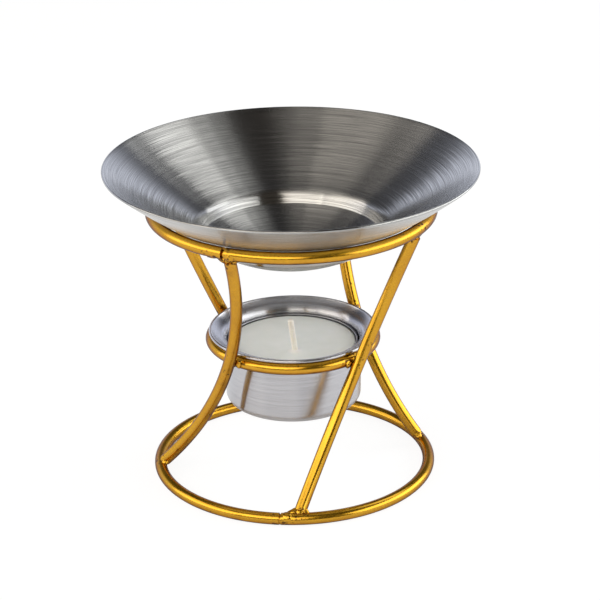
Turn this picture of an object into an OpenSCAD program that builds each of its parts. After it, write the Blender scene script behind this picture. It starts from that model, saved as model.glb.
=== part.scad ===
// Essential oil burner: a conical steel oil bowl on a twisted wire stand, with a hanging tealight cup.
// The origin is on the table in the middle of the base ring, +Z is up and the front looks along -Y.
// All sizes are in millimetres and all angles in degrees.

/* [Wire stand] */
// Diameter of the wire that the rings and legs are bent from
wire_d = 3.5; // [2.5:0.1:4.5]
// Height from the table to the top of the bowl ring
stand_h = 83.5; // [75:0.1:105]
// Diameter of the base ring, between wire centres
base_ring_d = 80.5; // [66:0.5:100]
// Diameter of the bowl ring, between wire centres
bowl_ring_d = 81; // [66:0.5:96]
// Height of the wire centre of the cup ring
cup_ring_z = 41.4; // [34:0.1:48]
// Room between the wire of the cup ring and the wall of the candle cup
cup_ring_room = 2.25; // [1:0.05:4]

/* [Oil bowl] */
// Outside diameter of the bowl at its rim
bowl_d = 108.5; // [96:0.5:132]
// Thickness of the bowl's steel sheet
bowl_sheet = 0.8; // [0.5:0.1:1.2]
// Diameter of the well at the foot of its step, between the centres of the bend there
well_d = 52; // [44:0.1:60]
// Diameter of the flat in the middle of the well
floor_d = 20; // [18:0.5:28]
// Radius of the dish that the well's floor is pressed to
dish_r = 57; // [50:1:120]
// Straight length of the step between the well's foot and its shoulder
step_h = 2.2; // [1:0.1:6]
// Slope of the step
step_slope = 80; // [65:1:86]
// Slope of the bowl's wall where it leaves the step
wall_slope = 29; // [22:0.5:34]
// Radius of the slight curve of the bowl's wall
wall_curve_r = 175; // [140:1:300]

/* [Candle cup] */
// Height of the candle cup from its underside to the top of its rim
candle_cup_h = 22.3; // [18:0.1:28]
// Thickness of the candle cup's steel sheet
cup_sheet = 0.5; // [0.3:0.1:0.8]
// Slope of the flange that hangs on the cup ring
flange_slope = 18; // [10:1:25]
// How far the flange reaches out past the wire centre of the cup ring
flange_reach = 0.8; // [0.4:0.1:1]
// Diameter of the rolled edge of the flange
flange_edge_d = 1; // [0.8:0.1:1.4]

/* [Tealight] */
// Outside diameter of the tealight's aluminium cup
tealight_d = 38; // [34:0.1:46]
// Height of the tealight's aluminium cup
tealight_h = 18; // [14:0.1:20]
// Room between the tealight and the wall of the candle cup
tealight_room = 0.5; // [0.4:0.05:1.5]
// Diameter of the wick
wick_d = 1.8; // [1.2:0.1:2.4]
// Free length of the wick above the wax
wick_free = 10; // [6:0.5:11]
// How far the wick leans to the left
wick_lean = 7; // [0:1:12]

/* [Hidden] */
$fn = 96;
// Steps round a wire and along its sweep
wire_steps = 120;
sweep_steps = 540;

// Colours of the finishes
gold_paint = "goldenrod";
steel = "silver";
aluminium = "gainsboro";
wax_white = "honeydew";
wick_ivory = "ivory";

// Legs in the order front left, front right, back right, back left: where each one stands on the
// base ring, passes the cup ring and meets the bowl ring, counted from +X
leg_foot_angle = [185, 271, 16.5, 97];
leg_waist_angle = [228, 313, 47, 139];
leg_top_angle = [244.5, 331, 67.5, 158.5];
// Where the ends of each ring's wire meet: the bowl ring's ends meet over the front left leg
base_seam_angle = 264;
cup_seam_angle = 95;
bowl_seam_angle = leg_top_angle[0] - 1.5;

// Fits and welds
seat_clearance = 0.15;
weld_gap = 0.2;
seam_gap = 0.5;
seam_weld_w = 3;
seam_proud = 0.25;
// The leg ends stop short of the wire centre of a ring, and the weld bead bridges the rest
bead_reach = 0.925*wire_d;

// Rings, by the radius of the wire centre
wire_r = wire_d/2;
candle_cup_r = tealight_d/2 + tealight_room + cup_sheet;
base_ring_r = base_ring_d/2;
bowl_ring_r = bowl_ring_d/2;
cup_ring_r = candle_cup_r + cup_ring_room + wire_r;
base_ring_z = wire_r;
bowl_ring_z = stand_h - wire_r;
leg_waist_r = cup_ring_r + wire_d + weld_gap;

// Oil bowl, a path along the middle of its sheet: flat, bend, dish, foot, step, shoulder and curved wall
floor_bend_r = 8;
foot_r = 1;
shoulder_r = 1.1;
// The dish is bent about a centre a little way past the axis
dish_past = 2;
floor_bend_slope = asin((floor_d/2 + dish_past)/(dish_r - floor_bend_r));
dish_slope = asin((well_d/2 + dish_past)/(dish_r - foot_r));
floor_bend_centre = [floor_d/2, floor_bend_r];
dish_centre = [-dish_past, floor_bend_r + (dish_r - floor_bend_r)*cos(floor_bend_slope)];
foot_centre = [well_d/2, dish_centre.y - (dish_r - foot_r)*cos(dish_slope)];
step_end = foot_centre - foot_r*left_of(step_slope) + step_h*along(step_slope);
shoulder_centre = step_end - shoulder_r*left_of(step_slope);
wall_start = shoulder_centre + shoulder_r*left_of(wall_slope);
wall_centre = wall_start + wall_curve_r*left_of(wall_slope);
rim_slope = asin((bowl_d/2 - bowl_sheet/2 - wall_centre.x)/wall_curve_r);
rim_middle = wall_centre - wall_curve_r*left_of(rim_slope);
// The wall's outer face lies on the bowl ring, which sets the height of the bowl
bowl_seat_r = wall_curve_r + bowl_sheet/2 + wire_r + seat_clearance;
bowl_z = bowl_ring_z + sqrt(pow(bowl_seat_r, 2) - pow(bowl_ring_r - wall_centre.x, 2)) - wall_centre.y;

// Candle cup, a path along the middle of its sheet: floor, corner, wall, flare and flange
cup_corner_r = 2.2;
flare_r = 2.6;
cup_wall_r = candle_cup_r - cup_sheet/2;
flange_end_r = cup_ring_r + flange_reach - flange_edge_d/2;
flare_end_r = cup_wall_r + flare_r*(1 - sin(flange_slope));
flange_rise = (flange_end_r - flare_end_r)*tan(flange_slope);
cup_wall_h = candle_cup_h - cup_sheet/2 - flange_edge_d/2 - flange_rise - flare_r*cos(flange_slope);
flare_end_z = cup_wall_h + flare_r*cos(flange_slope);
flange_end = [flange_end_r, flare_end_z + flange_rise];
// The underside of the flange lies on the cup ring, which sets the height of the cup
flange_seat = cup_sheet/2 + wire_r + seat_clearance;
flange_drop = (flange_seat - (cup_ring_r - flare_end_r)*sin(flange_slope))/cos(flange_slope);
cup_z = cup_ring_z - flare_end_z + flange_drop;

// Tealight, a path along the middle of its sheet: floor, corner and wall
tealight_sheet = 0.3;
tealight_corner_r = 1.45;
tealight_lip_d = 0.6;
tealight_wall_r = tealight_d/2 - tealight_sheet/2;
tealight_corner_at = tealight_wall_r - tealight_corner_r;
tealight_z = cup_z + cup_sheet/2 + seat_clearance + tealight_sheet/2;
tealight_floor_z = tealight_z + tealight_sheet/2;
wax_below_lip = 0.5;
wax_z = tealight_z - tealight_sheet/2 + tealight_h - wax_below_lip;
// The wick slipped towards the front before the wax set
wick_place = [0.6, -8.5];
wick_mound_r = 2.2;
wick_mound_top_r = wick_d/2 + 0.15;
wick_mound_h = 0.8;
wick_in_wax = (wax_z - tealight_floor_z)/cos(wick_lean) - wick_d/2*tan(wick_lean);
sustainer_d = 13;
sustainer_sheet = 0.4;
sustainer_neck_d = wick_d + 1.2;
sustainer_neck_h = 5;
sustainer_shift = (wax_z - tealight_floor_z)*tan(wick_lean);

// Directions in the plane of a profile: along a slope, and square to it on its upper left side
function along(slope) = [cos(slope), sin(slope)];
function left_of(slope) = [-sin(slope), cos(slope)];

// A point at a radius, an angle and a height
function polar(r, angle, z) = [r*cos(angle), r*sin(angle), z];

// The centre of the circle through three points
function circle_centre(p, q, s) =
    let (a = q - p, b = s - p, n = cross(a, b))
    p + (cross(n, a)*(b*b) + cross(b, n)*(a*a))/(2*(n*n));

// The three points that a leg's wire is bent through
function foot_point(i) = polar(base_ring_r, leg_foot_angle[i], base_ring_z);
function waist_point(i) = polar(leg_waist_r, leg_waist_angle[i], cup_ring_z);
function top_point(i) = polar(bowl_ring_r, leg_top_angle[i], bowl_ring_z);

// The circle that a leg is bent on: its centre, radius, axis and the turn from ring to ring
function leg_centre(i) = circle_centre(foot_point(i), waist_point(i), top_point(i));
function leg_r(i) = norm(foot_point(i) - leg_centre(i));
function leg_axis(i) =
    let (n = cross(waist_point(i) - foot_point(i), top_point(i) - foot_point(i)))
    n/norm(n);
function leg_out(i) = (foot_point(i) - leg_centre(i))/leg_r(i);
function leg_turn(i) =
    let (s = top_point(i) - leg_centre(i))
    atan2(s*cross(leg_axis(i), leg_out(i)), s*leg_out(i));
function leg_skip(i) = bead_reach/leg_r(i)*180/PI;

// Places something on the circle of a leg: X points out from its centre and Y runs up along the leg
module on_leg(i, turn) {
    c = leg_centre(i);
    u = leg_out(i);
    w = leg_axis(i);
    v = cross(w, u);
    multmatrix([
        [u.x, v.x, w.x, c.x],
        [u.y, v.y, w.y, c.y],
        [u.z, v.z, w.z, c.z],
        [0, 0, 0, 1]
    ])
        rotate([0, 0, turn])
            translate([leg_r(i), 0, 0])
                children();
}

// The round wire of a leg, from weld bead to weld bead
module leg(i) {
    on_leg(i, leg_skip(i))
        translate([-leg_r(i), 0, 0])
            rotate_extrude(angle = leg_turn(i) - 2*leg_skip(i), $fn = sweep_steps)
                translate([leg_r(i), 0])
                    circle(r = wire_r, $fn = wire_steps);
}

// The bead that swells from the end of a leg and narrows into the wire of a ring
module weld_bead() {
    rotate_extrude()
        polygon([
            [0, 0],
            [1.04*wire_r, 0],
            [1.3*wire_r, 0.75*wire_r],
            [0.75*wire_r, 1.5*wire_r],
            [0, 1.5*wire_r]
        ]);
}

// A ring of wire whose two ends nearly meet
module open_ring(r, z, seam_angle) {
    half_gap = seam_gap/2/r*180/PI;
    translate([0, 0, z])
        rotate([0, 0, seam_angle + half_gap])
            rotate_extrude(angle = 360 - 2*half_gap, $fn = sweep_steps)
                translate([r, 0])
                    circle(r = wire_r, $fn = wire_steps);
}

// The weld that closes a ring, ground away on the side that touches something: the table or the cup
module seam_weld(r, z, seam_angle, ground_below) {
    half_turn = seam_weld_w/2/r*180/PI;
    difference() {
        translate([0, 0, z])
            rotate([0, 0, seam_angle - half_turn])
                rotate_extrude(angle = 2*half_turn, $fn = sweep_steps)
                    translate([r, 0])
                        difference() {
                            circle(r = wire_r + seam_proud, $fn = wire_steps);
                            translate([-wire_d, ground_below ? -2*wire_d - wire_r/2 : wire_r/2])
                                square(2*wire_d);
                        }
        open_ring(r, z, seam_angle);
    }
}

// Points along a bend in a profile
function bend(centre, r, from, to, steps) =
    [for (k = [0:steps]) centre + r*along(from + (to - from)*k/steps)];

// The same points from the last to the first
function reversed(points) = [for (k = [len(points) - 1:-1:0]) points[k]];

// One face of the bowl's sheet, below the middle of the sheet by half its thickness or above it
function bowl_face(half) = concat(
    [[0, -half]],
    bend(floor_bend_centre, floor_bend_r + half, -90, floor_bend_slope - 90, 4),
    bend(dish_centre, dish_r + half, floor_bend_slope - 90, dish_slope - 90, 10),
    bend(foot_centre, foot_r + half, dish_slope - 90, step_slope - 90, 8),
    bend(shoulder_centre, shoulder_r - half, step_slope + 90, wall_slope + 90, 8),
    bend(wall_centre, wall_curve_r + half, wall_slope - 90, rim_slope - 90, 12)
);

// One face of the candle cup's sheet
function cup_face(half) = concat(
    [[0, -half]],
    bend([cup_wall_r - cup_corner_r, cup_corner_r], cup_corner_r + half, -90, 0, 10),
    bend([cup_wall_r + flare_r, cup_wall_h], flare_r - half, 180, 90 + flange_slope, 8),
    [flange_end - half*left_of(flange_slope)]
);

// One face of the tealight cup's sheet, up to a height
function tealight_face(half, top) = concat(
    [[0, -half]],
    bend([tealight_corner_at, tealight_corner_r], tealight_corner_r + half, -90, 0, 8),
    [[tealight_wall_r + half, top]]
);

// Base ring: the hoop that stands on the table
module base_ring() {
    color(gold_paint) open_ring(base_ring_r, base_ring_z, base_seam_angle);
}

// Cup ring: the small hoop at the waist that the candle cup hangs in
module cup_ring() {
    color(gold_paint) open_ring(cup_ring_r, cup_ring_z, cup_seam_angle);
}

// Bowl ring: the hoop at the top that the oil bowl rests in
module bowl_ring() {
    color(gold_paint) open_ring(bowl_ring_r, bowl_ring_z, bowl_seam_angle);
}

// Legs: bent wires that lean round the waist
module leg_front_left() {
    color(gold_paint) leg(0);
}

module leg_front_right() {
    color(gold_paint) leg(1);
}

module leg_back_right() {
    color(gold_paint) leg(2);
}

module leg_back_left() {
    color(gold_paint) leg(3);
}

// Welds of the legs: beads at the feet and at the tops, and spots at the waists on the cup ring
module leg_welds() {
    color(gold_paint) {
        difference() {
            for (i = [0:3]) on_leg(i, leg_skip(i)) rotate([90, 0, 0]) weld_bead();
            base_ring();
        }
        difference() {
            for (i = [0:3])
                rotate([0, 0, leg_waist_angle[i]])
                    translate([cup_ring_r, 0, cup_ring_z])
                        rotate([0, 90, 0])
                            cylinder(r = 0.95*wire_r, h = wire_d + weld_gap);
            cup_ring();
            for (i = [0:3]) leg(i);
        }
        difference() {
            for (i = [0:3]) on_leg(i, leg_turn(i) - leg_skip(i)) rotate([-90, 0, 0]) weld_bead();
            bowl_ring();
        }
    }
}

// Welds that close the base ring and the cup ring
module ring_seam_welds() {
    color(gold_paint) {
        seam_weld(base_ring_r, base_ring_z, base_seam_angle, true);
        seam_weld(cup_ring_r, cup_ring_z, cup_seam_angle, false);
    }
}

// Candle cup: a drawn steel cup with a flared flange and a rolled edge
module candle_cup() {
    color(steel)
        translate([0, 0, cup_z])
            rotate_extrude() {
                polygon(concat(cup_face(cup_sheet/2), reversed(cup_face(-cup_sheet/2))));
                translate(flange_end) circle(d = flange_edge_d);
            }
}

// Tealight cup: a thin aluminium can with a curled lip
module tealight_cup() {
    lip_z = tealight_h - tealight_sheet/2 - tealight_lip_d/2;
    color(aluminium)
        translate([0, 0, tealight_z])
            rotate_extrude() {
                polygon(concat(
                    tealight_face(tealight_sheet/2, lip_z),
                    reversed(tealight_face(-tealight_sheet/2, lip_z))
                ));
                translate([tealight_wall_r, lip_z]) circle(d = tealight_lip_d);
            }
}

// Wick sustainer: a tin disc with a neck that grips the wick, under the wax
module wick_sustainer() {
    color(aluminium)
        difference() {
            translate([wick_place.x + sustainer_shift, wick_place.y, tealight_floor_z]) {
                cylinder(d = sustainer_d, h = sustainer_sheet);
                rotate([0, -wick_lean, 0])
                    translate([0, 0, sustainer_neck_d/2*tan(wick_lean)])
                        cylinder(d = sustainer_neck_d, h = sustainer_neck_h);
            }
            wick();
        }
}

// Wick: a straight cord that leans to the left from the sustainer up through the wax
module wick() {
    color(wick_ivory)
        translate([wick_place.x, wick_place.y, wax_z])
            rotate([0, -wick_lean, 0])
                translate([0, 0, -wick_in_wax])
                    cylinder(d = wick_d, h = wick_in_wax + wick_free);
}

// Wax: fills the tealight cup and climbs a little way up the wick
module tealight_wax() {
    fill_h = wax_z - tealight_z;
    color(wax_white)
        difference() {
            union() {
                translate([0, 0, tealight_z])
                    rotate_extrude()
                        polygon(concat(tealight_face(-tealight_sheet/2, fill_h), [[0, fill_h]]));
                translate([wick_place.x, wick_place.y, wax_z - wick_mound_h])
                    cylinder(r1 = 2*wick_mound_r - wick_mound_top_r, r2 = wick_mound_top_r, h = 2*wick_mound_h);
            }
            wick_sustainer();
            wick();
        }
}

// Oil bowl: a spun steel dish with a stepped well for the oil and water, and a rounded rim
module oil_bowl() {
    rim_round = bend(rim_middle, bowl_sheet/2, rim_slope - 90, rim_slope + 90, 6);
    color(steel)
        translate([0, 0, bowl_z])
            rotate_extrude()
                polygon(concat(
                    bowl_face(bowl_sheet/2),
                    [for (k = [1:5]) rim_round[k]],
                    reversed(bowl_face(-bowl_sheet/2))
                ));
}

base_ring();
cup_ring();
bowl_ring();
leg_front_left();
leg_front_right();
leg_back_right();
leg_back_left();
leg_welds();
ring_seam_welds();
candle_cup();
tealight_cup();
wick_sustainer();
wick();
tealight_wax();
oil_bowl();
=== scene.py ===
import math

import bmesh
import bpy
from mathutils import Matrix, Vector, noise


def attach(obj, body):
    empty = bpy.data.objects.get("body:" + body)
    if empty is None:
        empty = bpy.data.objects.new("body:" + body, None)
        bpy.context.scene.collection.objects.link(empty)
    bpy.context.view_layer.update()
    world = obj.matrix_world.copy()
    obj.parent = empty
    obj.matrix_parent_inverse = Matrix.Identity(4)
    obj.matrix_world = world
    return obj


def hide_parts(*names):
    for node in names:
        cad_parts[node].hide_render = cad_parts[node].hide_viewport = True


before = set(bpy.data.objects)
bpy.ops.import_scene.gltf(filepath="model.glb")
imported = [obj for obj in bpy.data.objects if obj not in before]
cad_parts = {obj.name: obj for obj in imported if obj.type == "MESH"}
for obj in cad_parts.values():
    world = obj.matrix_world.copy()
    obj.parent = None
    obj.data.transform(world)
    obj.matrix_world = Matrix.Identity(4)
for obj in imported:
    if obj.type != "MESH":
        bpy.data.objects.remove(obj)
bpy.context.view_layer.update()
MM = 0.001


# Rings and legs of the stand: round steel wire, 3.5 mm thick, bent cold to hoops and to plain arcs.
# Each leg leans round the stand from the base ring, past the cup ring, to the bowl ring. Sizes are in mm.
WIRE_R = 1.75
BASE_RING_R, BASE_RING_Z = 40.25, 1.75
CUP_RING_R, CUP_RING_Z = 24.0, 41.4
BOWL_RING_R, BOWL_RING_Z = 40.5, 81.75
RINGS = {
    # name: radius and height of the wire centre, angle where its two ends meet, gap between them
    "base_ring": (BASE_RING_R, BASE_RING_Z, 264.0, 0.5),
    "cup_ring": (CUP_RING_R, CUP_RING_Z, 95.0, 0.5),
    "bowl_ring": (BOWL_RING_R, BOWL_RING_Z, 243.0, 1.0),
}
WAIST_GAP = 0.2
WAIST_R = CUP_RING_R + 2 * WIRE_R + WAIST_GAP
LEGS = {
    # name: angles on the base ring, at the waist and on the bowl ring
    "leg_front_left": (185.0, 228.0, 244.5),
    "leg_front_right": (271.0, 313.0, 331.0),
    "leg_back_right": (16.5, 47.0, 67.5),
    "leg_back_left": (97.0, 139.0, 158.5),
}
WIRE_SIDES, RING_STEPS, LEG_STEPS = 36, 320, 160


def polar(radius, angle, height):
    """A point at a radius and an angle in degrees round the stand."""
    turn = math.radians(angle)
    return Vector((radius * math.cos(turn), radius * math.sin(turn), height))


def linear(hex_code):
    """An sRGB hex colour as the linear colour that a shader socket takes."""
    channels = [int(hex_code[i:i + 2], 16) / 255 for i in (1, 3, 5)]
    return tuple(c / 12.92 if c <= 0.04045 else ((c + 0.055) / 1.055) ** 2.4 for c in channels) + (1.0,)


def add_node(tree, kind, inputs=None, **settings):
    """Adds a node with its settings; each input is a value or the socket that it is linked from."""
    node = tree.nodes.new(kind)
    for key, value in settings.items():
        setattr(node, key, value)
    for key, value in (inputs or {}).items():
        if isinstance(value, bpy.types.NodeSocket):
            tree.links.new(value, node.inputs[key])
        else:
            node.inputs[key].default_value = value
    return node


def fill_ramp(ramp_node, stops):
    """Gives a colour ramp its stops: (position, hex colour) pairs."""
    elements = ramp_node.color_ramp.elements
    while len(elements) < len(stops):
        elements.new(0.5)
    for element, (position, colour) in zip(elements, stops):
        element.position = position
        element.color = linear(colour)


def new_finish(name):
    """A new material, its empty tree and the place on the piece that its patterns follow."""
    finish = bpy.data.materials.new(name)
    finish.use_nodes = True
    finish.node_tree.nodes.clear()
    return finish, finish.node_tree, add_node(finish.node_tree, "ShaderNodeTexCoord").outputs["Object"]


# Gold lacquer: metallic spray paint over steel, satin, with a fine grit in it, painted shade that turns it
# dark brown on the undersides of the wires, and dark pits, most of them near the welds.
gold_lacquer, tree, place = new_finish("gold_lacquer")
# grit of about 0.15 mm, drawn at 0.4 mm so that it shows
grit = add_node(
    tree, "ShaderNodeTexNoise",
    {"Vector": place, "Scale": 1 / (0.4 * MM), "Detail": 3.0, "Roughness": 0.6},
)
# clouds in the spray coat, about 6 mm across
cloud = add_node(tree, "ShaderNodeTexNoise", {"Vector": place, "Scale": 1 / (6 * MM), "Detail": 2.0})
# pits up to 0.5 mm wide in cells of 1.3 mm, with edges that wander by about 0.3 mm
wobble = add_node(
    tree, "ShaderNodeVectorMath", {0: grit.outputs["Color"], 1: (0.6 * MM,) * 3, 2: place},
    operation="MULTIPLY_ADD",
)
pit_cells = add_node(
    tree, "ShaderNodeTexVoronoi", {"Vector": wobble.outputs["Vector"], "Scale": 1 / (1.3 * MM)}
)
# they crowd round the welds, and elsewhere there are a few in patches about 5 mm across
weld_heat = add_node(tree, "ShaderNodeAttribute", attribute_name="weld_heat").outputs["Fac"]
pit_size = add_node(tree, "ShaderNodeMapRange", {"Value": weld_heat, "To Min": 0.0, "To Max": 0.38})
rare = add_node(tree, "ShaderNodeTexNoise", {"Vector": place, "Scale": 1 / (5 * MM), "Detail": 1.0})
rare_size = add_node(
    tree, "ShaderNodeMapRange",
    {"Value": rare.outputs["Fac"], "From Min": 0.5, "From Max": 0.75, "To Min": 0.0, "To Max": 0.3},
)
pit_reach = add_node(
    tree, "ShaderNodeMath", {0: pit_size.outputs["Result"], 1: rare_size.outputs["Result"]}, operation="ADD"
)
pit_edge = add_node(
    tree, "ShaderNodeMath", {0: pit_cells.outputs["Distance"], 1: pit_reach.outputs[0]}, operation="SUBTRACT"
)
pit = add_node(
    tree, "ShaderNodeMapRange",
    {"Value": pit_edge.outputs[0], "From Min": -0.16, "From Max": 0.02, "To Min": 0.85, "To Max": 0.0},
)
# painted shade: the colour is dark brown where the surface faces down and gold where it faces up
facing = add_node(
    tree, "ShaderNodeSeparateXYZ", {"Vector": add_node(tree, "ShaderNodeNewGeometry").outputs["Normal"]}
)
painted_underside_shade = add_node(
    tree, "ShaderNodeMapRange",
    {"Value": facing.outputs["Z"], "From Min": -0.8, "From Max": 0.5, "To Min": 0.0, "To Max": 0.75},
)
coat_cloud = add_node(
    tree, "ShaderNodeMapRange",
    {"Value": cloud.outputs["Fac"], "From Min": 0.3, "From Max": 0.7, "To Max": 0.25},
)
underside_shade_and_cloud = add_node(
    tree, "ShaderNodeMath", {0: painted_underside_shade.outputs["Result"], 1: coat_cloud.outputs["Result"]}, operation="ADD"
)
# painted shade: this ramp makes the undersides of the wires dark brown and their tops gold, with random
# clouds on top
gold_with_painted_shade = add_node(tree, "ShaderNodeValToRGB", {"Fac": underside_shade_and_cloud.outputs[0]})
fill_ramp(gold_with_painted_shade, [(0.0, "#4a2102"), (0.35, "#c68f22"), (1.0, "#dea926")])
grit_tone = add_node(
    tree, "ShaderNodeMapRange",
    {"Value": grit.outputs["Fac"], "From Min": 0.3, "From Max": 0.7, "To Min": 0.86, "To Max": 1.08},
)
gritty = add_node(
    tree, "ShaderNodeVectorMath", {0: gold_with_painted_shade.outputs["Color"], "Scale": grit_tone.outputs["Result"]},
    operation="SCALE",
)
pitted = add_node(
    tree, "ShaderNodeMix", {0: pit.outputs["Result"], 6: gritty.outputs["Vector"], 7: linear("#4a2c0a")},
    data_type="RGBA",
)
satin = add_node(
    tree, "ShaderNodeMapRange",
    {"Value": grit.outputs["Fac"], "From Min": 0.3, "From Max": 0.7, "To Min": 0.18, "To Max": 0.25},
)
relief = add_node(
    tree, "ShaderNodeMath",
    {0: pit.outputs["Result"], 1: -2.5, 2: grit.outputs["Fac"]}, operation="MULTIPLY_ADD",
)
bumped = add_node(
    tree, "ShaderNodeBump", {"Height": relief.outputs[0], "Strength": 0.2, "Distance": 0.06 * MM}
)
# the flakes in the paint lie flat, so it turns brown where it is seen edge on
paint = add_node(
    tree, "ShaderNodeBsdfPrincipled",
    {"Base Color": pitted.outputs[2], "Metallic": 0.95, "Roughness": satin.outputs["Result"],
     "Specular Tint": linear("#2a1204"), "Coat Weight": 0.4, "Coat Roughness": 0.12,
     "Normal": bumped.outputs["Normal"]},
)
add_node(tree, "ShaderNodeOutputMaterial", {"Surface": paint.outputs["BSDF"]})


# Every wire is drawn by one tree: an arc through three points, swept with the round section of the wire.
bent_wire = bpy.data.node_groups.new("bent_wire", "GeometryNodeTree")
sockets = {}
for label, kind in [
    ("Start", "NodeSocketVector"), ("Middle", "NodeSocketVector"), ("End", "NodeSocketVector"),
    ("Wire radius", "NodeSocketFloat"), ("Steps", "NodeSocketInt"), ("Finish", "NodeSocketMaterial"),
]:
    sockets[label] = bent_wire.interface.new_socket(label, in_out="INPUT", socket_type=kind).identifier
bent_wire.interface.new_socket("Wire", in_out="OUTPUT", socket_type="NodeSocketGeometry")
given = add_node(bent_wire, "NodeGroupInput").outputs
arc = add_node(
    bent_wire, "GeometryNodeCurveArc",
    {"Resolution": given["Steps"], "Start": given["Start"], "Middle": given["Middle"], "End": given["End"]},
    mode="POINTS",
)
section = add_node(
    bent_wire, "GeometryNodeCurvePrimitiveCircle", {"Resolution": WIRE_SIDES, "Radius": given["Wire radius"]}
)
swept = add_node(
    bent_wire, "GeometryNodeCurveToMesh",
    {"Curve": arc.outputs["Curve"], "Profile Curve": section.outputs["Curve"], "Fill Caps": True},
)
whole = add_node(bent_wire, "GeometryNodeRealizeInstances", {"Geometry": swept.outputs["Mesh"]})
finished = add_node(
    bent_wire, "GeometryNodeSetMaterial", {"Geometry": whole.outputs["Geometry"], "Material": given["Finish"]}
)
add_node(bent_wire, "NodeGroupOutput", {"Wire": finished.outputs["Geometry"]})


def put_in_scene(name, data):
    """A new object at the origin that holds a mesh, a lamp or a camera."""
    thing = bpy.data.objects.new(name, data)
    bpy.context.collection.objects.link(thing)
    return thing


def shade_smooth(mesh):
    mesh.polygons.foreach_set("use_smooth", [True] * len(mesh.polygons))


def draw_wire(name, start, middle, end, steps):
    """One wire of the stand as a plain mesh, between points in millimetres."""
    blank = put_in_scene(name + "_path", bpy.data.meshes.new(name + "_path"))
    sweep = blank.modifiers.new("sweep", "NODES")
    sweep.node_group = bent_wire
    for label, value in (("Start", start * MM), ("Middle", middle * MM), ("End", end * MM),
                         ("Wire radius", WIRE_R * MM), ("Steps", steps), ("Finish", gold_lacquer)):
        sweep[sockets[label]] = value
    depsgraph = bpy.context.evaluated_depsgraph_get()
    mesh = bpy.data.meshes.new_from_object(blank.evaluated_get(depsgraph))
    bpy.data.objects.remove(blank)
    mesh.name = name
    shade_smooth(mesh)
    return put_in_scene(name, mesh)


def circle_centre(p, q, s):
    """The centre of the circle through three points."""
    a, b = q - p, s - p
    n = a.cross(b)
    return p + (n.cross(a) * b.length_squared + b.cross(n) * a.length_squared) / (2 * n.length_squared)


leg_points = {
    name: (polar(BASE_RING_R, foot, BASE_RING_Z), polar(WAIST_R, waist, CUP_RING_Z),
           polar(BOWL_RING_R, top, BOWL_RING_Z))
    for name, (foot, waist, top) in LEGS.items()
}


def leg_point(name, share):
    """A point on a leg's centre line, from 0 at the foot to 1 at the top, the way the leg runs there, and
    the length of the leg."""
    foot, waist, top = leg_points[name]
    centre = circle_centre(foot, waist, top)
    out = foot - centre
    axis = (waist - foot).cross(top - foot).normalized()
    full = math.atan2((top - centre).dot(axis.cross(out)) / out.length, (top - centre).dot(out) / out.length)
    turned = Matrix.Rotation(full * share, 3, axis) @ out
    return centre + turned, axis.cross(turned).normalized(), full * out.length


wires = []
for name, (radius, height, seam, gap) in RINGS.items():
    half_gap = math.degrees(gap / 2 / radius)
    wire = draw_wire(
        name + "_wire", polar(radius, seam + half_gap, height), polar(radius, seam + 180, height),
        polar(radius, seam - half_gap, height), RING_STEPS,
    )
    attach(wire, "stand")
    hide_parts(name)
    wires.append(wire)
# the blunt ends of the legs touch the rings with one corner, and the welds fill the rest
LEG_CUT = 1.35 * WIRE_R
for name in LEGS:
    cut = LEG_CUT / leg_point(name, 0)[2]
    start, middle, end = (leg_point(name, share)[0] for share in (cut, 0.5, 1 - cut))
    wire = draw_wire(name + "_wire", start, middle, end, LEG_STEPS)
    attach(wire, "stand")
    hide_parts(name)
    wires.append(wire)


# Welds: lumpy beads that join the legs to the three rings, a fused spot at each waist, and the butt welds
# that close the rings. They were painted over with the stand, and their pits show through the paint.
WELD_IN = 1.2 * WIRE_R
SEAM_WELDS = {
    # name: rise of the weld over the middle of the wire, and radius of the wire left in the notch
    "base_ring": (0.22, 1.55),
    "cup_ring": (-0.4, 1.6),
    "bowl_ring": (-0.35, 1.25),
}
MELT_ANGLE, MELT_DROP = 238.6, 1.15


def weld_lump(target, centre, along, length, width, seed, roughness):
    """Adds one bead to a bmesh: a lumpy oval about a centre, long in one direction."""
    turn = along.to_track_quat("Z", "X").to_matrix()
    shift = Vector((seed * 3.1, seed * 1.7, seed * 0.9))
    for vert in bmesh.ops.create_icosphere(target, subdivisions=4, radius=1.0)["verts"]:
        ball = vert.co.copy()
        lump = noise.fractal(ball * 1.3 + shift, 0.9, 2.1, 4)
        pock = max(0.0, noise.noise(ball * 4.0 + shift) - 0.25)
        size = 1 + roughness * (0.5 * lump - 0.9 * pock)
        oval = Vector((ball.x * width, ball.y * width, ball.z * length))
        vert.co = (centre + turn @ oval * size) * MM


def new_piece(name, form, finish):
    """Makes a bmesh a smooth piece with its faces outwards."""
    bmesh.ops.recalc_face_normals(form, faces=form.faces)
    mesh = bpy.data.meshes.new(name)
    form.to_mesh(mesh)
    form.free()
    shade_smooth(mesh)
    mesh.materials.append(finish)
    return put_in_scene(name, mesh)


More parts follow.
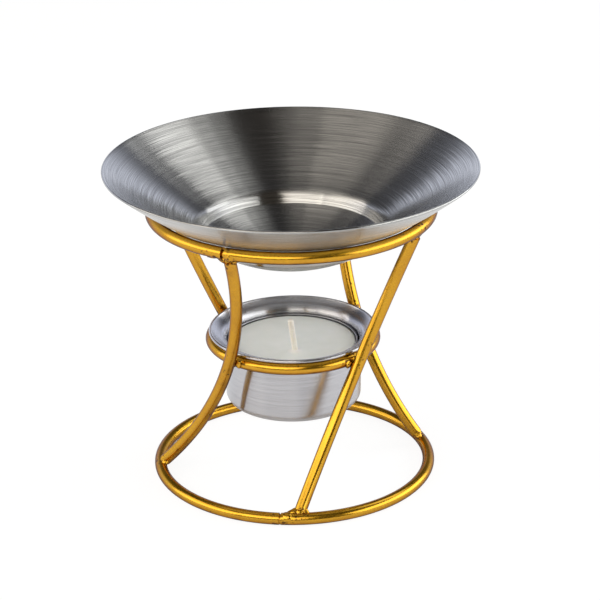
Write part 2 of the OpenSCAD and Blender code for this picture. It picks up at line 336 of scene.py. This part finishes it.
beads = bmesh.new()
weld_places = []
for k, (name, (foot, waist, top)) in enumerate(LEGS.items()):
    weld_share = WELD_IN / leg_point(name, 0)[2]
    # a neck between the leg and the ring, and a lump on each side of it with a crease between them
    for end, share, angle in ((0, weld_share, foot), (1, 1 - weld_share, top)):
        middle, way, _ = leg_point(name, share)
        to_ring = way if end else -way
        weld_lump(beads, middle, way, length=1.8, width=1.42, seed=90 + 2 * k + end, roughness=0.3)
        for side in (-1, 1):
            around = polar(side, angle + 90, 0.0)
            # the bead on one side ran out along the ring, and the other one stayed round
            ran_out = (k + end + side) % 3 == 0
            spread, lean, length = (1.9, 1.9, 2.7) if ran_out else (1.5, 0.8, 1.45)
            weld_lump(
                beads, middle + around * spread, (around * lean + to_ring).normalized(),
                length=length, width=1.05, seed=5 * k + 2 * end + side, roughness=0.3,
            )
        weld_places.append(middle + to_ring * 0.8)
    # a row of small lumps along the ring where the leg touches it at the waist
    for side in (-1, 0, 1):
        spot = polar(CUP_RING_R + WIRE_R - 0.25 * abs(side), waist + side * 4.6, CUP_RING_Z + 0.25 * side)
        weld_lump(
            beads, spot, Vector((0, 0, 1)), length=1.45, width=1.05, seed=40 + 3 * k + side, roughness=0.4
        )
    weld_places.append(polar(CUP_RING_R + WIRE_R, waist, CUP_RING_Z))
for k, (name, (radius, height, seam, _)) in enumerate(RINGS.items()):
    # one end of the wire is blunt, the weld ran out over the other one, and a notch was left between them
    rise, notch = SEAM_WELDS[name]
    for n, (ahead, up, length, width) in enumerate((
        (0.1, -0.6 * abs(rise), 0.9, notch),
        (2.0, rise, 2.2, 1.84),
    )):
        spot = polar(radius, seam + math.degrees(ahead / radius), height + up)
        weld_lump(beads, spot, polar(1.0, seam + 90, 0.0), length, width, seed=60 + 3 * k + n, roughness=0.08)
    weld_places.append(polar(radius, seam, height))
# the run of melted metal under the left end of the bowl ring
melt = polar(BOWL_RING_R, MELT_ANGLE, BOWL_RING_Z - MELT_DROP)
melt_way = polar(1.0, MELT_ANGLE + 90, 0.25).normalized()
weld_lump(beads, melt, melt_way, length=2.6, width=0.85, seed=77, roughness=0.3)
weld_places.append(melt)
weld_beads = new_piece("weld_beads", beads, gold_lacquer)
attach(weld_beads, "stand")
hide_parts("leg_welds", "ring_seam_welds")
# the heat that pitted the paint is full within 1.9 mm of a weld and fades out by 5.1 mm
for piece in wires + [weld_beads]:
    heat = piece.data.attributes.new("weld_heat", "FLOAT", "POINT")
    for vert in piece.data.vertices:
        near = min((vert.co / MM - spot).length for spot in weld_places)
        heat.data[vert.index].value = max(0.0, min(1.0, 1.6 - near / 3.2))


# Oil bowl: a dish spun from stainless sheet 0.8 mm thick, with a stepped, dished well for the oil and water
# and a rounded rim. It lies loose in the bowl ring, and its inside was brushed on the lathe in rings.
SHEET = 0.8
WELL_R, FLOOR_R, FLOOR_BEND_R, DISH_R, DISH_PAST, FOOT_R = 25.054, 10.0, 8.0, 52.0, 2.0, 0.9
STEP_LENGTH, STEP_SLOPE, SHOULDER_R, FLARE_SLOPE, FLARE_R = 2.318, 64.0, 3.4, 25.0, 40.0
WALL_SLOPE, WALL_CURVE, RIM_R = 30.5, 175.0, 54.25
SEAT_GAP = 0.15
BOWL_STEPS = 256


def heading(angle):
    """A direction in a profile, in degrees from level."""
    return Vector((math.cos(math.radians(angle)), math.sin(math.radians(angle))))


def bend(centre, radius, start, stop, steps):
    """Points along a bend in a profile."""
    return [centre + radius * heading(start + (stop - start) * k / steps) for k in range(steps + 1)]


def turned_row(form, radius, height, steps):
    """A ring of points round the axis of the stand, or the one point on it."""
    if radius < 1e-6:
        return [form.verts.new((0, 0, height * MM))]
    return [form.verts.new(polar(radius, 360 * k / steps, height) * MM) for k in range(steps)]


def skin_rows(form, rows, steps):
    """Closes a bmesh between rings of points, some of which may be single points."""
    for low, high in zip(rows, rows[1:]):
        for k in range(steps):
            n = (k + 1) % steps
            if len(low) == 1:
                form.faces.new((low[0], high[k], high[n]))
            elif len(high) == 1:
                form.faces.new((low[k], high[0], low[n]))
            else:
                form.faces.new((low[k], high[k], high[n], low[n]))


def turned_piece(name, outline, base, steps, finish):
    """A piece turned round the axis of the stand from an outline of (radius, height) points."""
    form = bmesh.new()
    rows = [turned_row(form, radius, base + height, steps) for radius, height in outline]
    skin_rows(form, rows, steps)
    return new_piece(name, form, finish)


bend_slope = math.degrees(math.asin((FLOOR_R + DISH_PAST) / (DISH_R - FLOOR_BEND_R)))
dish_slope = math.degrees(math.asin((WELL_R + DISH_PAST) / (DISH_R - FOOT_R)))
bend_centre = Vector((FLOOR_R, FLOOR_BEND_R))
dish_centre = bend_centre + (DISH_R - FLOOR_BEND_R) * heading(bend_slope + 90)
foot_centre = dish_centre - (DISH_R - FOOT_R) * heading(dish_slope + 90)
step_end = foot_centre - FOOT_R * heading(STEP_SLOPE + 90) + STEP_LENGTH * heading(STEP_SLOPE)
shoulder_centre = step_end - SHOULDER_R * heading(STEP_SLOPE + 90)
flare_centre = shoulder_centre + (SHOULDER_R + FLARE_R) * heading(FLARE_SLOPE + 90)
wall_centre = flare_centre + (WALL_CURVE - FLARE_R) * heading(WALL_SLOPE + 90)
rim_slope = math.degrees(math.asin((RIM_R - SHEET / 2 - wall_centre.x) / WALL_CURVE))
rim_middle = wall_centre - WALL_CURVE * heading(rim_slope + 90)
seat_r = WALL_CURVE + SHEET / 2 + WIRE_R + SEAT_GAP
bowl_base = BOWL_RING_Z + math.sqrt(seat_r ** 2 - (BOWL_RING_R - wall_centre.x) ** 2) - wall_centre.y


def bowl_face(half):
    """One face of the sheet: flat, bend, dish, foot, step, shoulder, flare and curved wall."""
    return ([Vector((FLOOR_R * share, -half)) for share in (0, 0.08, 0.3, 0.6, 0.85, 0.97)]
            + bend(bend_centre, FLOOR_BEND_R + half, -90, bend_slope - 90, 6)
            + bend(dish_centre, DISH_R + half, bend_slope - 90, dish_slope - 90, 16)[1:]
            + bend(foot_centre, FOOT_R + half, dish_slope - 90, STEP_SLOPE - 90, 10)[1:]
            + bend(shoulder_centre, SHOULDER_R - half, STEP_SLOPE + 90, FLARE_SLOPE + 90, 14)
            + bend(flare_centre, FLARE_R + half, FLARE_SLOPE - 90, WALL_SLOPE - 90, 10)[1:]
            + bend(wall_centre, WALL_CURVE + half, WALL_SLOPE - 90, rim_slope - 90, 26)[1:])


def brushed_finish(name, dark, light, smooth, rough, wander):
    """Steel rubbed with grit while it turned. The scratches run round the axis, so a lamp shows as a fan
    from the middle, torn into streaks where the scratches wander from their ring."""
    finish, tree, place = new_finish(name)
    spot = add_node(tree, "ShaderNodeSeparateXYZ", {"Vector": place})
    flat_place = add_node(tree, "ShaderNodeVectorMath", {0: place, 1: (1, 1, 0)}, operation="MULTIPLY")
    from_axis = add_node(tree, "ShaderNodeVectorMath", {0: flat_place.outputs["Vector"]}, operation="LENGTH")
    up_wall = add_node(
        tree, "ShaderNodeMath", {0: from_axis.outputs["Value"], 1: spot.outputs["Z"]}, operation="ADD"
    )
    lay = add_node(
        tree, "ShaderNodeCombineXYZ",
        {"X": up_wall.outputs[0], "Y": spot.outputs["X"], "Z": spot.outputs["Y"]},
    )
    # a scratch is about 0.05 mm wide and 12 mm long, drawn 0.18 mm wide so that it shows, and coarser
    # ones are about 0.35 mm apart and 25 mm long
    scratches = []
    for width, length in ((0.18 * MM, 12 * MM), (0.35 * MM, 25 * MM)):
        stretched = add_node(
            tree, "ShaderNodeVectorMath",
            {0: lay.outputs["Vector"], 1: (1 / width, 1 / length, 1 / length)}, operation="MULTIPLY",
        )
        scratch_noise = add_node(
            tree, "ShaderNodeTexNoise", {"Vector": stretched.outputs["Vector"], "Scale": 1.0, "Detail": 1.0}
        )
        scratches.append(scratch_noise.outputs["Fac"])
    fine, broad = scratches
    scratch = add_node(tree, "ShaderNodeMath", {0: fine, 1: broad}, operation="ADD")
    depth = add_node(
        tree, "ShaderNodeMapRange", {"Value": scratch.outputs[0], "From Min": 0.7, "From Max": 1.3}
    )
    tone = add_node(tree, "ShaderNodeValToRGB", {"Fac": depth.outputs["Result"]})
    fill_ramp(tone, [(0.0, dark), (1.0, light)])
    polish = add_node(
        tree, "ShaderNodeMapRange", {"Value": depth.outputs["Result"], "To Min": rough, "To Max": smooth}
    )
    lie = add_node(tree, "ShaderNodeTangent", direction_type="RADIAL", axis="Z")
    sway = add_node(
        tree, "ShaderNodeMapRange", {"Value": depth.outputs["Result"], "To Min": -wander, "To Max": wander}
    )
    sideways = add_node(
        tree, "ShaderNodeVectorMath", {0: lie.outputs["Tangent"], "Scale": sway.outputs["Result"]},
        operation="SCALE",
    )
    leaning = add_node(
        tree, "ShaderNodeVectorMath",
        {0: add_node(tree, "ShaderNodeNewGeometry").outputs["Normal"], 1: sideways.outputs["Vector"]},
        operation="ADD",
    )
    upright = add_node(tree, "ShaderNodeVectorMath", {0: leaning.outputs["Vector"]}, operation="NORMALIZE")
    scored = add_node(
        tree, "ShaderNodeBump",
        {"Height": fine, "Strength": 0.1, "Distance": 0.05 * MM, "Normal": upright.outputs["Vector"]},
    )
    metal = add_node(
        tree, "ShaderNodeBsdfPrincipled",
        {"Base Color": tone.outputs["Color"], "Metallic": 1.0, "Roughness": polish.outputs["Result"],
         "Anisotropic": 1.0, "Anisotropic Rotation": 0.25, "Tangent": lie.outputs["Tangent"],
         "Normal": scored.outputs["Normal"]},
    )
    add_node(tree, "ShaderNodeOutputMaterial", {"Surface": metal.outputs["BSDF"]})
    return finish


brushed_steel = brushed_finish(
    "brushed_stainless", dark="#989897", light="#ccccca", smooth=0.2, rough=0.25, wander=0.018
)
rim_round = bend(rim_middle, SHEET / 2, rim_slope - 90, rim_slope + 90, 10)[1:-1]
spun_bowl = turned_piece(
    "spun_bowl", bowl_face(SHEET / 2) + rim_round + bowl_face(-SHEET / 2)[::-1],
    bowl_base, BOWL_STEPS, brushed_steel,
)
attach(spun_bowl, "bowl")
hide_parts("oil_bowl")


# Candle cup: drawn from stainless sheet 0.5 mm thick, with a flared flange and a rolled edge.
# It hangs loose by the flange in the cup ring.
CUP_SHEET, CUP_WALL_R, CUP_CORNER_R, CUP_H = 0.5, 19.75, 2.2, 22.3
CUP_FLARE_R, FLANGE_SLOPE, FLANGE_PAST, EDGE_D = 2.6, 18.0, 0.8, 1.0
CUP_STEPS = 192
flange_tilt = math.radians(FLANGE_SLOPE)
flange_end_r = CUP_RING_R + FLANGE_PAST - EDGE_D / 2
flare_end_r = CUP_WALL_R + CUP_FLARE_R * (1 - math.sin(flange_tilt))
flange_rise = (flange_end_r - flare_end_r) * math.tan(flange_tilt)
flare_rise = CUP_FLARE_R * math.cos(flange_tilt)
cup_wall_h = CUP_H - CUP_SHEET / 2 - EDGE_D / 2 - flange_rise - flare_rise
flare_end_z = cup_wall_h + flare_rise
flange_end = Vector((flange_end_r, flare_end_z + flange_rise))
flange_seat = CUP_SHEET / 2 + WIRE_R + SEAT_GAP
cup_base = CUP_RING_Z - flare_end_z + (
    (flange_seat - (CUP_RING_R - flare_end_r) * math.sin(flange_tilt)) / math.cos(flange_tilt)
)


def cup_face(half):
    """One face of the sheet: floor, corner, straight wall and flare."""
    floor_r = CUP_WALL_R - CUP_CORNER_R
    return ([Vector((floor_r * share, -half)) for share in (0, 0.1, 0.4, 0.8, 0.97)]
            + bend(Vector((floor_r, CUP_CORNER_R)), CUP_CORNER_R + half, -90, 0, 12)
            + [Vector((CUP_WALL_R + half, CUP_CORNER_R + (cup_wall_h - CUP_CORNER_R) * share))
               for share in (0.03, 0.3, 0.6, 0.97)]
            + bend(Vector((CUP_WALL_R + CUP_FLARE_R, cup_wall_h)), CUP_FLARE_R - half,
                   180, 90 + FLANGE_SLOPE, 12))


# the cup was rubbed with a finer grit than the bowl, so it is brighter and its scratches hardly show
satin_steel = brushed_finish(
    "satin_stainless", dark="#b7b7bb", light="#c3c3c7", smooth=0.22, rough=0.26, wander=0.006
)
rolled_edge = bend(flange_end, EDGE_D / 2, FLANGE_SLOPE - 150, FLANGE_SLOPE + 150, 16)
drawn_cup = turned_piece(
    "drawn_cup", cup_face(CUP_SHEET / 2) + rolled_edge + cup_face(-CUP_SHEET / 2)[::-1],
    cup_base, CUP_STEPS, satin_steel,
)
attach(drawn_cup, "cup")
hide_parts("candle_cup")


# Tealight cup: a can of thin bright aluminium, pressed in one piece, with its lip curled outwards.
# It stands loose in the candle cup.
CAN_SHEET, CAN_R, CAN_CORNER_R, CAN_H, LIP_D = 0.3, 18.85, 1.45, 18.0, 0.6
CAN_STEPS = 160
can_base = cup_base + CUP_SHEET / 2 + SEAT_GAP + CAN_SHEET / 2
lip_z = CAN_H - CAN_SHEET / 2 - LIP_D / 2
bright_aluminium, tree, place = new_finish("bright_aluminium")
# shallow dents from handling, about 5 mm apart, in foil that was rolled bright. Its grey is painted shade:
# far darker than bright aluminium, so that the lip and the crack round the wax read as a dark line
dents = add_node(tree, "ShaderNodeTexNoise", {"Vector": place, "Scale": 1 / (5 * MM), "Detail": 2.0})
rolled = add_node(
    tree, "ShaderNodeMapRange", {"Value": dents.outputs["Fac"], "To Min": 0.14, "To Max": 0.26}
)
dented = add_node(
    tree, "ShaderNodeBump", {"Height": dents.outputs["Fac"], "Strength": 0.3, "Distance": 0.2 * MM}
)
# painted shade: a dark grey for the foil, not the pale colour of bright aluminium
foil_grey_painted_shade = add_node(tree, "ShaderNodeValToRGB", {"Fac": dents.outputs["Fac"]})
fill_ramp(foil_grey_painted_shade, [(0.2, "#8c8c90"), (0.8, "#a8a8ac")])
foil = add_node(
    tree, "ShaderNodeBsdfPrincipled",
    {"Base Color": foil_grey_painted_shade.outputs["Color"], "Metallic": 1.0, "Roughness": rolled.outputs["Result"],
     "Normal": dented.outputs["Normal"]},
)
add_node(tree, "ShaderNodeOutputMaterial", {"Surface": foil.outputs["BSDF"]})


def can_bottom(half):
    """The floor and the corner of one face of the sheet."""
    floor_r = CAN_R - CAN_CORNER_R
    return ([Vector((floor_r * share, -half)) for share in (0, 0.1, 0.5, 0.95)]
            + bend(Vector((floor_r, CAN_CORNER_R)), CAN_CORNER_R + half, -90, 0, 8))


can_outside, can_inside = (
    can_bottom(half) + [Vector((CAN_R + half, lip_z - LIP_D / 2))] for half in (CAN_SHEET / 2, -CAN_SHEET / 2)
)
lip = bend(Vector((CAN_R, lip_z)), LIP_D / 2, -60, 240, 14)
tealight_can = turned_piece(
    "tealight_can", can_outside + lip + can_inside[::-1], can_base, CAN_STEPS, bright_aluminium
)
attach(tealight_can, "tealight")
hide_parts("tealight_cup")


# Wax: paraffin, poured into the can round the wick. It set with a faint dip towards its edge, shrank from
# the can there, and climbs the wick a little.
WICK_X, WICK_Y = 0.6, -8.5
WAX_BELOW_LIP, WAX_CRACK = 0.5, 1.6
WAX_RINGS, WAX_STEPS = 46, 160
wax_top = can_base - CAN_SHEET / 2 + CAN_H - WAX_BELOW_LIP
wax_r = CAN_R - CAN_SHEET / 2
paraffin, tree, place = new_finish("paraffin_wax")
# crystals make clouds of about 5 mm in the set wax, and a skin with a faint grain of 0.8 mm
bloom = add_node(tree, "ShaderNodeTexNoise", {"Vector": place, "Scale": 1 / (5 * MM), "Detail": 3.0})
skin = add_node(tree, "ShaderNodeTexNoise", {"Vector": place, "Scale": 1 / (0.8 * MM), "Detail": 2.0})
wax_tone = add_node(tree, "ShaderNodeValToRGB", {"Fac": bloom.outputs["Fac"]})
fill_ramp(wax_tone, [(0.25, "#eef4f1"), (0.75, "#f6fbf9")])
# the wax that climbed the wick set whiter, within about 2 mm of it
past_wick = add_node(
    tree, "ShaderNodeVectorMath", {0: place, 1: (WICK_X * MM, WICK_Y * MM, 0)}, operation="SUBTRACT"
)
flat_way = add_node(
    tree, "ShaderNodeVectorMath", {0: past_wick.outputs["Vector"], 1: (1, 1, 0)}, operation="MULTIPLY"
)
from_wick = add_node(tree, "ShaderNodeVectorMath", {0: flat_way.outputs["Vector"]}, operation="LENGTH")
whiter = add_node(
    tree, "ShaderNodeMapRange",
    {"Value": from_wick.outputs["Value"], "From Min": 1.1 * MM, "From Max": 2.4 * MM,
     "To Min": 1.0, "To Max": 0.0},
)
wax_white = add_node(
    tree, "ShaderNodeMix", {0: whiter.outputs["Result"], 6: wax_tone.outputs["Color"], 7: linear("#fdfdfb")},
    data_type="RGBA",
)
skinned = add_node(
    tree, "ShaderNodeBump", {"Height": skin.outputs["Fac"], "Strength": 0.15, "Distance": 0.05 * MM}
)
waxy = add_node(
    tree, "ShaderNodeMapRange", {"Value": skin.outputs["Fac"], "To Min": 0.36, "To Max": 0.52}
)
wax = add_node(
    tree, "ShaderNodeBsdfPrincipled",
    {"Base Color": wax_white.outputs[2], "Roughness": waxy.outputs["Result"], "IOR": 1.44,
     "Subsurface Weight": 0.25, "Subsurface Radius": (1.0, 0.9, 0.75), "Subsurface Scale": 1.5 * MM,
     "Normal": skinned.outputs["Normal"]},
)
add_node(tree, "ShaderNodeOutputMaterial", {"Surface": wax.outputs["BSDF"]})

pour = bmesh.new()
wax_rows = [turned_row(pour, wax_r * k / WAX_RINGS, wax_top, WAX_STEPS) for k in range(WAX_RINGS + 1)]
for row in wax_rows:
    # the last ring falls into the narrow crack along the can
    fall = WAX_CRACK if row is wax_rows[-1] else 0.0
    for vert in row:
        reach = math.hypot(vert.co.x, vert.co.y) / MM
        off_wick = math.hypot(vert.co.x / MM - WICK_X, vert.co.y / MM - WICK_Y)
        mound = 0.85 * math.exp(-(off_wick / 1.35) ** 2) + 0.12 * math.exp(-(off_wick / 5) ** 2)
        dip = 0.18 * max(0.0, (reach - 14.5) / 4.2) ** 2
        ripple = 0.05 * noise.noise(vert.co * 120)
        vert.co.z += (mound - dip - fall + ripple) * MM
for point in can_bottom(-CAN_SHEET / 2)[::-1]:
    wax_rows.append(turned_row(pour, point.x, can_base + point.y, WAX_STEPS))
skin_rows(pour, wax_rows, WAX_STEPS)
poured_wax = new_piece("poured_wax", pour, paraffin)
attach(poured_wax, "tealight")
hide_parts("tealight_wax")


# Wick: a cotton cord of three twisted strands, stiffened with wax and cut off at the tip.
# It stands in the wax and leans to the left.
WICK_D, WICK_LEAN, WICK_FREE, WICK_SUNK = 1.8, 7.0, 10.0, 2.0
STRANDS, STRAND_PITCH, TIP_SHARE = 3, 3.4, 0.97
WICK_STEPS, WICK_SIDES = 90, 36
cotton, tree, place = new_finish("waxed_cotton")
# fibres of about 0.1 mm, drawn at 0.25 mm so that they show
fibre = add_node(tree, "ShaderNodeTexNoise", {"Vector": place, "Scale": 1 / (0.25 * MM), "Detail": 3.0})
cotton_tone = add_node(tree, "ShaderNodeValToRGB", {"Fac": fibre.outputs["Fac"]})
fill_ramp(cotton_tone, [(0.25, "#f6f0e2"), (0.75, "#fffdf8")])
fuzzy = add_node(
    tree, "ShaderNodeBump", {"Height": fibre.outputs["Fac"], "Strength": 0.4, "Distance": 0.08 * MM}
)
matt = add_node(tree, "ShaderNodeMapRange", {"Value": fibre.outputs["Fac"], "To Min": 0.6, "To Max": 0.85})
cord = add_node(
    tree, "ShaderNodeBsdfPrincipled",
    {"Base Color": cotton_tone.outputs["Color"], "Roughness": matt.outputs["Result"],
     "Subsurface Weight": 0.2, "Subsurface Radius": (1.0, 0.9, 0.7), "Subsurface Scale": 0.6 * MM,
     "Normal": fuzzy.outputs["Normal"]},
)
add_node(tree, "ShaderNodeOutputMaterial", {"Surface": cord.outputs["BSDF"]})

wick_tilt = math.radians(WICK_LEAN)
wick_way = Vector((-math.sin(wick_tilt), 0, math.cos(wick_tilt)))
wick_foot = Vector((WICK_X, WICK_Y, wax_top))
twist = bmesh.new()
wick_rows = []
for k in range(WICK_STEPS + 1):
    share = k / WICK_STEPS
    rise = -WICK_SUNK + (WICK_FREE + WICK_SUNK) * share
    middle = wick_foot + wick_way * rise
    taper = 1.0 if share < TIP_SHARE else 1 - 5 * (share - TIP_SHARE)
    ring = []
    for n in range(WICK_SIDES):
        angle = 2 * math.pi * n / WICK_SIDES
        strand = abs(math.cos(STRANDS / 2 * (angle - 2 * math.pi * rise / STRAND_PITCH)))
        radius = WICK_D / 2 * (0.9 + 0.1 * strand) * taper
        side = Vector((radius * math.cos(angle), radius * math.sin(angle), 0))
        ring.append(twist.verts.new((middle + side) * MM))
    wick_rows.append(ring)
for low, high in zip(wick_rows, wick_rows[1:]):
    for k in range(WICK_SIDES):
        n = (k + 1) % WICK_SIDES
        twist.faces.new((low[k], low[n], high[n], high[k]))
twist.faces.new(wick_rows[0][::-1])
twist.faces.new(wick_rows[-1])
twisted_wick = new_piece("twisted_wick", twist, cotton)
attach(twisted_wick, "tealight")
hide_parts("wick")


# Wick sustainer: a stamped, tin-plated disc with a neck that is crimped on the wick. It is sealed under
# the wax, so the CAD node itself is shown, with the tin on it.
tinplate, tree, place = new_finish("tinplate")
# spangle of the tin coat, about 2 mm across
spangle = add_node(tree, "ShaderNodeTexVoronoi", {"Vector": place, "Scale": 1 / (2 * MM)})
tin_rough = add_node(
    tree, "ShaderNodeMapRange", {"Value": spangle.outputs["Distance"], "To Min": 0.25, "To Max": 0.45}
)
tin_tone = add_node(tree, "ShaderNodeValToRGB", {"Fac": spangle.outputs["Distance"]})
fill_ramp(tin_tone, [(0.0, "#b9b9b6"), (0.8, "#d2d2d0")])
tin = add_node(
    tree, "ShaderNodeBsdfPrincipled",
    {"Base Color": tin_tone.outputs["Color"], "Metallic": 1.0, "Roughness": tin_rough.outputs["Result"]},
)
add_node(tree, "ShaderNodeOutputMaterial", {"Surface": tin.outputs["BSDF"]})
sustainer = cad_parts["wick_sustainer"]
sustainer.data.materials.clear()
sustainer.data.materials.append(tinplate)


# Table and studio: a sheet of white paper under the burner, and soft boxes round it: a low wide one with
# three faint ones above it on the right, two warm ones low on the left and in front, and two faint ones
# high on the left. The walls are light near the table, and the ceiling is dark.
TABLE_R, TABLE_SIDES = 6000.0, 96
table_paper, tree, place = new_finish("white_paper")
paper = add_node(tree, "ShaderNodeBsdfDiffuse", {"Color": linear("#f2f2f2")})
white = add_node(tree, "ShaderNodeEmission", {"Color": (1, 1, 1, 1), "Strength": 1.1})
ray = add_node(tree, "ShaderNodeLightPath").outputs
# the camera sees most of the white, and metal sees less of it near the burner, so that its mirror keeps
# the shadow there
from_burner = add_node(tree, "ShaderNodeVectorMath", {0: place}, operation="LENGTH")
open_paper = add_node(
    tree, "ShaderNodeMapRange",
    {"Value": from_burner.outputs["Value"], "From Min": 35 * MM, "From Max": 62 * MM,
     "To Min": 0.05, "To Max": 1.0},
)
mirrored = add_node(
    tree, "ShaderNodeMath", {0: ray["Is Glossy Ray"], 1: open_paper.outputs["Result"]}, operation="MULTIPLY"
)
seen = add_node(
    tree, "ShaderNodeMath", {0: ray["Is Camera Ray"], 1: mirrored.outputs[0]}, operation="MAXIMUM"
)
seen_or_through = add_node(
    tree, "ShaderNodeMath", {0: seen.outputs[0], 1: ray["Is Transmission Ray"]}, operation="MAXIMUM"
)
lift = add_node(tree, "ShaderNodeMath", {0: seen_or_through.outputs[0], 1: 0.82}, operation="MULTIPLY")
lifted = add_node(
    tree, "ShaderNodeMixShader",
    {"Fac": lift.outputs[0], 1: paper.outputs["BSDF"], 2: white.outputs["Emission"]},
)
add_node(tree, "ShaderNodeOutputMaterial", {"Surface": lifted.outputs["Shader"]})
table_mesh = bpy.data.meshes.new("table")
sheet = bmesh.new()
bmesh.ops.create_circle(sheet, cap_ends=True, radius=TABLE_R * MM, segments=TABLE_SIDES)
sheet.to_mesh(table_mesh)
sheet.free()
table_mesh.materials.append(table_paper)
table = put_in_scene("table", table_mesh)

room = bpy.data.worlds.new("studio")
bpy.context.scene.world = room
room.use_nodes = True
tree = room.node_tree
tree.nodes.clear()
toward = add_node(
    tree, "ShaderNodeSeparateXYZ", {"Vector": add_node(tree, "ShaderNodeTexCoord").outputs["Generated"]}
)
# the light wall reaches higher in front than behind
wall_height = add_node(
    tree, "ShaderNodeMath", {0: toward.outputs["Y"], 1: 0.13, 2: toward.outputs["Z"]},
    operation="MULTIPLY_ADD",
)
behind = add_node(tree, "ShaderNodeValToRGB", {"Fac": wall_height.outputs[0]})
fill_ramp(behind, [(0.0, "#e9edfa"), (0.42, "#dde2f2"), (0.56, "#48484c"), (1.0, "#3c3c3d")])
# in front, a dark strip of the room shows between the table and the light, and the right half is dark
front = add_node(tree, "ShaderNodeValToRGB", {"Fac": wall_height.outputs[0]})
fill_ramp(front, [
    (0.12, "#2e2a26"), (0.2, "#fffaf2"), (0.46, "#fffaf2"), (0.58, "#454443"), (1.0, "#3c3c3d"),
])
right_half = add_node(
    tree, "ShaderNodeMapRange", {"Value": toward.outputs["X"], "From Min": 0.0, "From Max": 0.16}
)
front_wall = add_node(
    tree, "ShaderNodeMix",
    {0: right_half.outputs["Result"], 6: front.outputs["Color"], 7: linear("#3a352f")}, data_type="RGBA",
)
to_back = add_node(
    tree, "ShaderNodeMapRange", {"Value": toward.outputs["Y"], "From Min": -0.4, "From Max": 0.4}
)
walls = add_node(
    tree, "ShaderNodeMix",
    {0: to_back.outputs["Result"], 6: front_wall.outputs[2], 7: behind.outputs["Color"]}, data_type="RGBA",
)
glow = add_node(tree, "ShaderNodeBackground", {"Color": walls.outputs[2], "Strength": 1.15})
add_node(tree, "ShaderNodeOutputWorld", {"Surface": glow.outputs["Background"]})

SOFT_BOXES = {
    # name: compass angle and height angle from the burner, distance, width, height (m), radiance, colour
    "right_low": (357.5, 20.5, 1.3, 2.23, 0.82, 2.3, "#fffffc"),
    "right_core": (33, 49.75, 1.3, 0.66, 0.423, 0.68, "#fffffc"),
    "right_high": (33, 53.25, 1.3, 0.61, 0.588, 0.4, "#fffffc"),
    "right_top": (33, 56.25, 1.3, 0.57, 0.733, 0.38, "#fffffc"),
    "left_low": (192, 25, 1.3, 1.56, 1.08, 1.45, "#fff6e9"),
    "front_left": (253.5, 36, 1.3, 1.1, 1.0, 1.5, "#fff6e9"),
    "high_left": (165, 68.5, 1.2, 0.62, 0.49, 0.26, "#fff6ea"),
    "high_top": (165, 73.5, 1.2, 0.54, 0.67, 0.24, "#fff6ea"),
}
LAMP_AIM = Vector((0, 0, 0.055))
for name, (compass, climb, distance, wide, high, radiance, colour) in SOFT_BOXES.items():
    lamp = bpy.data.lights.new(name, "AREA")
    lamp.shape = "RECTANGLE"
    lamp.size, lamp.size_y = wide, high
    lamp.energy = radiance * math.pi * wide * high
    lamp.color = linear(colour)[:3]
    box = put_in_scene(name, lamp)
    climb_turn = math.radians(climb)
    box_way = polar(math.cos(climb_turn), compass, math.sin(climb_turn))
    box.location = LAMP_AIM + box_way * distance
    box.rotation_euler = box_way.to_track_quat("Z", "Y").to_euler()

# Camera: about 700 mm from the burner and 22.7 degrees above it, with a long lens. Its distance is in
# metres, and the side of the frame, the focal length and the shift are in pixels.
CAMERA_TILT, CAMERA_ROLL, CAMERA_AWAY = 22.686, 0.686, 0.6963
CAMERA_AIM = Vector((2.16, 0, 50)) * MM
FRAME_SIDE, FOCAL_LENGTH, FRAME_SHIFT = 600, 2372.7, 8.69
lens = bpy.data.cameras.new("camera")
lens.sensor_width = 36.0
lens.lens = lens.sensor_width * FOCAL_LENGTH / FRAME_SIDE
lens.shift_y = FRAME_SHIFT / FRAME_SIDE
camera = put_in_scene("camera", lens)
tilt = math.radians(CAMERA_TILT)
back = Vector((0, -math.cos(tilt), math.sin(tilt)))
camera.location = CAMERA_AIM + back * CAMERA_AWAY
camera.rotation_euler = (
    back.to_track_quat("Z", "Y").to_matrix() @ Matrix.Rotation(math.radians(-CAMERA_ROLL), 3, "Z")
).to_euler()
bpy.context.scene.camera = camera
bpy.context.scene.view_settings.view_transform = "Standard"
